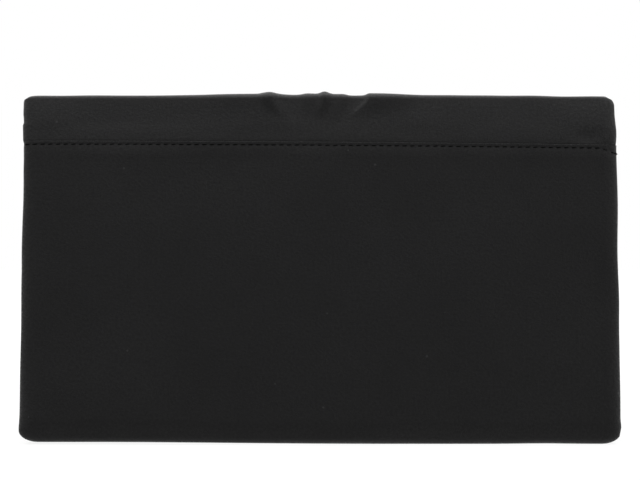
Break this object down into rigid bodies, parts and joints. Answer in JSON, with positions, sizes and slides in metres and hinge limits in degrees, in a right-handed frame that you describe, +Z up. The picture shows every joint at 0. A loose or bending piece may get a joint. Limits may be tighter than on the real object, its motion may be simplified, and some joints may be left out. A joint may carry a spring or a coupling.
{
  "type": "clutch purse",
  "caption": "Wide, slim flap-over clutch purse in matte black cloth: padded boarded walls, folded gussets, lined inside with a slip pocket, and a hidden magnetic snap.",
  "frame": {"origin": "middle of the underside of the base", "axes": "+X along the width, -Y towards the front (the flap side), +Y towards the plain back, +Z up"},
  "size_m": [0.254, 0.0409, 0.1484],
  "materials": {
    "black_cloth": "matte",
    "thread": "matte",
    "lining": "satin",
    "foam": "matte",
    "board": "matte",
    "nickel": "satin",
    "magnet": "matte"
  },
  "bodies": {
    "body": {"back_panel": "black_cloth", "back_foam": "foam", "back_board": "board", "back_lining": "lining", "flap_root": "black_cloth", "root_stitches": "thread", "base_panel": "black_cloth", "base_board": "board", "base_lining": "lining", "left_gusset": "black_cloth", "right_gusset": "black_cloth", "left_gusset_lining": "lining", "right_gusset_lining": "lining", "slip_pocket": "lining", "pocket_hem": "lining", "pocket_stitches": "thread"},
    "spine": {"fold_skin": "black_cloth", "fold_foam": "foam", "fold_lining": "lining"},
    "flap": {"flap_skin": "black_cloth", "flap_foam": "foam", "flap_board": "board", "flap_lining": "lining", "snap_stud": "nickel", "stud_washer": "nickel"},
    "front": {"front_panel": "black_cloth", "front_foam": "foam", "front_board": "board", "front_lining": "lining", "mouth_stitches": "thread", "snap_socket": "nickel", "snap_magnet": "magnet", "socket_washer": "nickel"}
  },
  "joints": [
    {"name": "spine_hinge", "type": "hinge", "parent": "body", "child": "spine", "pos_m": [0, 0.0041, 0.1448], "axis": [-1, 0, 0], "range_deg": [0, 90], "deforming": ["fold_skin"]},
    {"name": "flap_hinge", "type": "hinge", "parent": "spine", "child": "flap", "pos_m": [0, -0.0026, 0.1448], "axis": [-1, 0, 0], "range_deg": [0, 90], "deforming": ["fold_skin"]},
    {"name": "front_tilt", "type": "hinge", "parent": "body", "child": "front", "pos_m": [0, -0.0185, 0.0015], "axis": [1, 0, 0], "range_deg": [0, 10], "deforming": ["left_gusset", "right_gusset", "left_gusset_lining", "right_gusset_lining"]}
  ],
  "couplings": [
    {"joint": "flap_hinge", "follows": "spine_hinge", "ratio": 1},
    {"joint": "front_tilt", "follows": "spine_hinge", "ratio": 0.1111}
  ]
}
